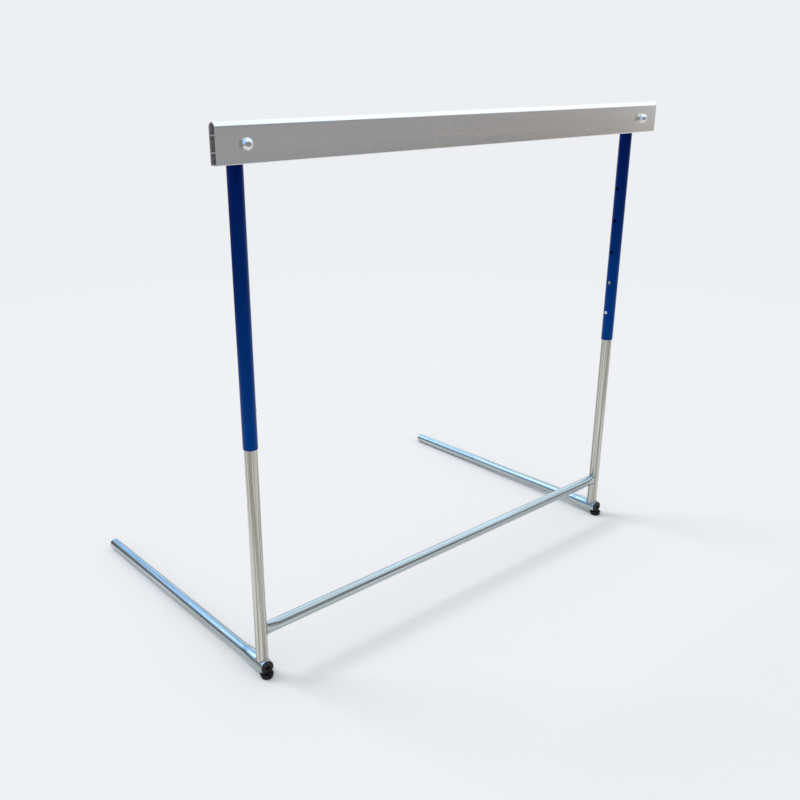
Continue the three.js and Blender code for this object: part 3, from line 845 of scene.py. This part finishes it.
on_both_sides(foot, RUBBER, "frame", "black_rubber", "foot")
for side, sign in SIDES:
    snap_spring(side)
for side, sign in SIDES:
    post_weld(side, sign)
    cross_tube_weld(side, sign)

kept_nodes = {
    "bar_saddle": PLASTIC,
    "bar_nut": ZINC_SMALL,
    "post_guide": PLASTIC,
    "foot_screw": ZINC_SMALL,
}
for kind, finish in kept_nodes.items():
    for side, _ in SIDES:
        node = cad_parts[f"{kind}_{side}"]
        for slot in node.material_slots:
            slot.material = finish


# Studio, with sizes in metres

PALE_BACKDROP, PALE_PAPER = (0.847, 0.863, 0.888, 1), (0.885, 0.9, 0.925, 1)
SKY_BLUE, SKY_PALE = (0.42, 0.86, 1.5, 1), (1.12, 1.3, 1.45, 1)
SOFT_LIGHT = (0.76, 0.76, 0.76, 1)


def lit_card(card, made, finish, tone):
    """Gives a card its glow, and lets it show only in reflections."""
    finish.node("ShaderNodeOutputMaterial", {}, finish.glow(tone))
    card.data.materials.append(made)
    card.visible_camera = False
    card.visible_diffuse = False
    card.visible_shadow = False


def studio_floor():
    """Pale paper, which runs into the pale backdrop a few metres out."""
    alone()
    bpy.ops.mesh.primitive_circle_add(vertices=96, radius=60, fill_type="NGON")
    floor = named("studio_floor")
    made, finish = material("pale_paper")
    paper = finish.node("ShaderNodeBsdfDiffuse", {}, Color=PALE_PAPER)
    beyond = finish.glow(PALE_BACKDROP)
    distance = finish.node("ShaderNodeVectorMath", {"operation": "LENGTH"}, finish.place(), out="Value")
    far = finish.spread(distance, 1.6, 4)
    blend = finish.node("ShaderNodeMixShader", {}, far, paper, beyond)
    finish.node("ShaderNodeOutputMaterial", {}, blend)
    floor.data.materials.append(made)


def gray_card(name, path, bottom, top, grays):
    """An upright card that follows a path across the floor, in grays that change with height."""
    alone()
    bpy.ops.mesh.primitive_circle_add(vertices=len(path), radius=1, fill_type="NOTHING")
    card = named(name)
    for corner, (across, back) in zip(card.data.vertices, path):
        corner.co = (across, back, bottom)
    bpy.ops.object.mode_set(mode="EDIT")
    bpy.ops.mesh.select_mode(type="EDGE")
    bpy.ops.mesh.select_all(action="DESELECT")
    mesh = bmesh.from_edit_mesh(card.data)
    for side in mesh.edges:
        closes_the_ring = abs(side.verts[0].index - side.verts[1].index) != 1
        side.select_set(closes_the_ring)
    bpy.ops.mesh.delete(type="EDGE_FACE")
    bpy.ops.mesh.select_all(action="SELECT")
    bpy.ops.mesh.extrude_region_move(TRANSFORM_OT_translate={"value": (0, 0, top - bottom)})
    bpy.ops.object.mode_set(mode="OBJECT")
    made, finish = material(name)
    height = finish.along("Z")
    tone = gray(grays[0][1])
    for (low, _), (high, level) in zip(grays, grays[1:]):
        tone = finish.mixed(finish.spread(height, low, high), tone, gray(level))
    lit_card(card, made, finish, tone)


def bow(middle, radius, start, end, steps=12):
    """Points along an arc on the floor, between two directions in degrees."""
    angles = [math.radians(start + (end - start) * step / steps) for step in range(steps + 1)]
    return [(middle + radius * math.cos(a), radius * math.sin(a)) for a in angles]


def gray_cards():
    """Cards past the front, round the back on the left, and far off on the right."""
    front = [
        (-4, -1.7),
        (-1.2, -1.2),
        (-0.2, -1.25),
        (0.7, -1.47),
        (1.7, -1.86),
        (2.5, -2.15),
        (6, -3.4),
    ]
    grays = [(0.5, 0.48), (0.56, 0.14), (0.7, 0.14), (0.8, 0.33), (1.15, 0.33), (1.3, 0.25)]
    gray_card("front_card", front, 0.1, 1.7, grays)
    gray_card("back_card", bow(-0.45, 2, 84, 205), 0, 0.98, [(0.5, 0.088), (0.63, 0.34)])
    gray_card("far_card", bow(0, 8, -12, 70), 0, 2, [(0, 0.5)])


def sky_cards():
    """A dome of cards: blue at the back on the left, and pale everywhere else."""
    alone()
    bpy.ops.mesh.primitive_uv_sphere_add(segments=64, ring_count=32, radius=30)
    dome = named("sky_cards")
    made, finish = material("sky_card")
    ahead = finish.node("ShaderNodeVectorMath", {"operation": "NORMALIZE"}, finish.place())
    back_left = (-0.766, 0.643, 0)
    towards = finish.node("ShaderNodeVectorMath", {"operation": "DOT_PRODUCT"}, ahead, back_left,
                          out="Value")
    lit_card(dome, made, finish, finish.mixed(finish.spread(towards, 0, 0.35), SKY_PALE, SKY_BLUE))


def studio_light():
    """Even soft light from all round, and the pale backdrop where the camera looks."""
    world = bpy.data.worlds.new("studio")
    world.use_nodes = True
    bpy.context.scene.world = world
    finish = Finish(world.node_tree)
    seen = finish.node("ShaderNodeLightPath", {}, out="Is Camera Ray")
    mirrored = finish.node("ShaderNodeLightPath", {}, out="Is Glossy Ray")
    through = finish.node("ShaderNodeLightPath", {}, out="Is Transmission Ray")
    shown = finish.mixed(seen + mirrored + through, SOFT_LIGHT, PALE_BACKDROP)
    finish.node("ShaderNodeOutputWorld", {}, finish.node("ShaderNodeBackground", {}, shown, 1.0))


def key_light():
    """A soft lamp, high up at the back on the left."""
    bpy.ops.object.light_add(type="SUN", rotation=(math.radians(-34), math.radians(-22), 0))
    sun = named("key")
    sun.data.energy = 0.9
    sun.data.angle = math.radians(22)


# The photograph's camera, solved from the hurdle's own points: pixels, degrees, and metres from the
# posts' middle.
PICTURE_WIDTH, FOCAL_PIXELS = 800, 881.64
AXIS_ACROSS, AXIS_DOWN = 347.29, 410.84
YAW, PITCH, ROLL = 39.058, 20.624, 0.811
EYE_ACROSS, EYE_BACK, EYE_HEIGHT = -1.343266, -1.267896, 1.126162
SENSOR_WIDTH = 36


def camera():
    """The photograph's view."""
    yaw, pitch, roll = (math.radians(angle) for angle in (YAW, PITCH, ROLL))
    ahead = Vector((math.sin(yaw) * math.cos(pitch), math.cos(yaw) * math.cos(pitch), -math.sin(pitch)))
    right = Vector((math.cos(yaw), -math.sin(yaw), 0))
    down = ahead.cross(right)
    turned_right = right * math.cos(roll) + down * math.sin(roll)
    turned_down = down * math.cos(roll) - right * math.sin(roll)
    data = bpy.data.cameras.new("camera")
    data.sensor_width = SENSOR_WIDTH
    data.lens = FOCAL_PIXELS / PICTURE_WIDTH * SENSOR_WIDTH
    data.shift_x = (PICTURE_WIDTH / 2 - AXIS_ACROSS) / PICTURE_WIDTH
    data.shift_y = (AXIS_DOWN - PICTURE_WIDTH / 2) / PICTURE_WIDTH
    view = bpy.data.objects.new("camera", data)
    bpy.context.collection.objects.link(view)
    basis = Matrix((turned_right, -turned_down, -ahead)).transposed().to_4x4()
    eye = (EYE_ACROSS, EYE_BACK + DEPTH_OF_POSTS * MM, EYE_HEIGHT)
    view.matrix_world = Matrix.Translation(eye) @ basis
    bpy.context.scene.camera = view


studio_floor()
gray_cards()
sky_cards()
studio_light()
key_light()
camera()
bpy.context.scene.view_settings.view_transform = "Standard"
